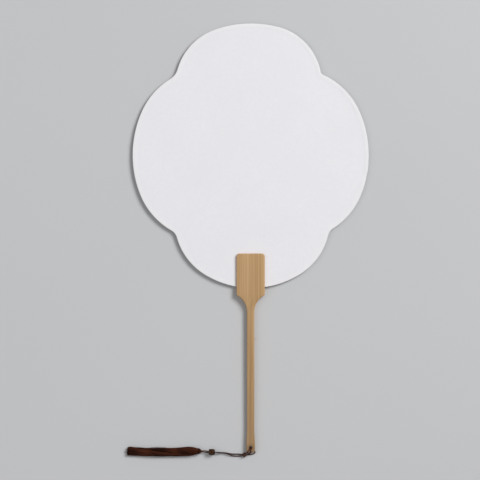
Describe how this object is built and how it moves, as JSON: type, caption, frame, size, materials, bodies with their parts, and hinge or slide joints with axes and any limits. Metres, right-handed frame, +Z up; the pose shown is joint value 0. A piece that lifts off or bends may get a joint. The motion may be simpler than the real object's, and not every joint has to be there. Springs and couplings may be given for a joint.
{
  "type": "paper hand fan",
  "caption": "Flat paper hand fan with a four-lobed face, a one-piece bamboo paddle handle, and a silk tassel on a knotted cord at the butt.",
  "frame": {"origin": "on the surface the fan lies on, in the middle of its length and width, without the cord and tassel", "axes": "+Y from the butt of the handle to the top of the face, +Z up out of the front of the face, +X to the right seen from the front"},
  "size_m": [0.2419, 0.4335, 0.0071],
  "materials": {
    "card": "matte grey-buff board",
    "paper": "smooth matte white paper",
    "rim_paper": "smooth matte white paper strip",
    "bamboo": "satin bare bamboo with fine long grain",
    "cord": "twisted dark red-brown silk cord",
    "silk": "dark red-brown silk strands with a soft sheen"
  },
  "bodies": {
    "root": {"face_card": "card", "front_paper": "paper", "back_paper": "paper", "rim_strip": "rim_paper", "handle": "bamboo", "hitch_loop": "cord"},
    "cord": {"hitch_turn": "cord", "cord_leg_inner": "cord", "cord_leg_outer": "cord"},
    "knot": {"button_knot": "cord", "link_loop": "cord"},
    "tassel": {"tassel_head": "silk", "tassel_skirt": "silk"}
  },
  "joints": [
    {"name": "cord_swing", "type": "hinge", "parent": "root", "child": "cord", "pos_m": [-0.006, -0.2174, 0.002], "axis": [0, 0, 1], "range_deg": [-45, 110]},
    {"name": "knot_lift", "type": "hinge", "parent": "cord", "child": "knot", "pos_m": [-0.03885, -0.2143, 0.00355], "axis": [0, 1, 0], "range_deg": [0, 90]},
    {"name": "tassel_swing", "type": "hinge", "parent": "knot", "child": "tassel", "pos_m": [-0.05135, -0.2134, 0.00325], "axis": [0, 0, 1], "range_deg": [-45, 45]}
  ]
}
